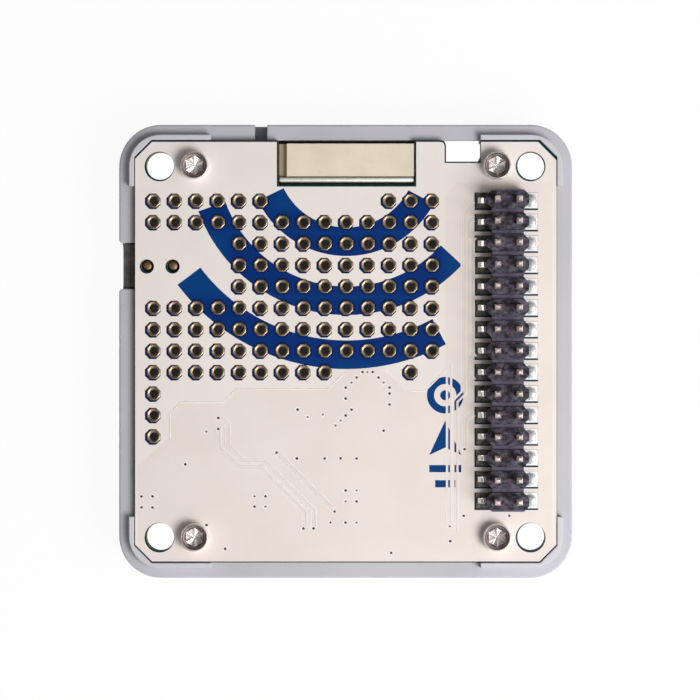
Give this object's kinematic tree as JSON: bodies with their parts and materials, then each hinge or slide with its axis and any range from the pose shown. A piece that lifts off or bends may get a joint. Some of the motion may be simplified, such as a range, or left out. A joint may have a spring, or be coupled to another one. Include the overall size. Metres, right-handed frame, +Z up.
{
  "type": "gps module",
  "caption": "Square stackable satellite positioning module: circuit board in a moulded frame with a two-row bus header, mating socket, upright ceramic antenna and side antenna jack.",
  "frame": {"origin": "middle of the frame's foot, on the surface that it rests on", "axes": "+Z up through the board towards the pin tips, +X towards the bus header, +Y towards the antenna edge"},
  "size_m": [0.0538, 0.0538, 0.0128],
  "materials": {
    "frame_plastic": "fine spark texture, satin",
    "board_mask": "solder mask under white print",
    "pad_gold": "gilt plating",
    "screw_steel": "bright turned",
    "header_plastic": "moulded, satin",
    "pin_gold": "gilt, bright",
    "tin": "reflowed solder",
    "antenna_ceramic": "fired, matt",
    "silver": "silvered, satin",
    "green_board": "solder mask",
    "can_metal": "rolled sheet",
    "capacitor_ceramic": "fired",
    "jack_brass": "turned",
    "insulator_white": "plain"
  },
  "bodies": {
    "root": {"frame": "frame_plastic", "main_board": "board_mask", "proto_pads": "pad_gold", "board_screws": "screw_steel", "header_body": "header_plastic", "header_pins": "pin_gold", "header_lands": "tin", "socket_body": "header_plastic", "socket_contacts": "pin_gold", "socket_lands": "tin", "antenna_ceramic": "antenna_ceramic", "antenna_patch": "silver", "antenna_ground_plate": "silver", "antenna_board": "green_board", "antenna_feed_pin": "tin", "receiver_board": "board_mask", "receiver_can": "can_metal", "regulator_body": "header_plastic", "regulator_leads": "tin", "capacitor_bodies": "capacitor_ceramic", "capacitor_terminals": "tin", "resistor_bodies": "header_plastic", "resistor_terminals": "tin", "jack_housing": "header_plastic", "jack_sleeve": "jack_brass", "jack_insulator": "insulator_white", "jack_contact": "jack_brass", "jack_pegs": "jack_brass"}
  },
  "joints": []
}
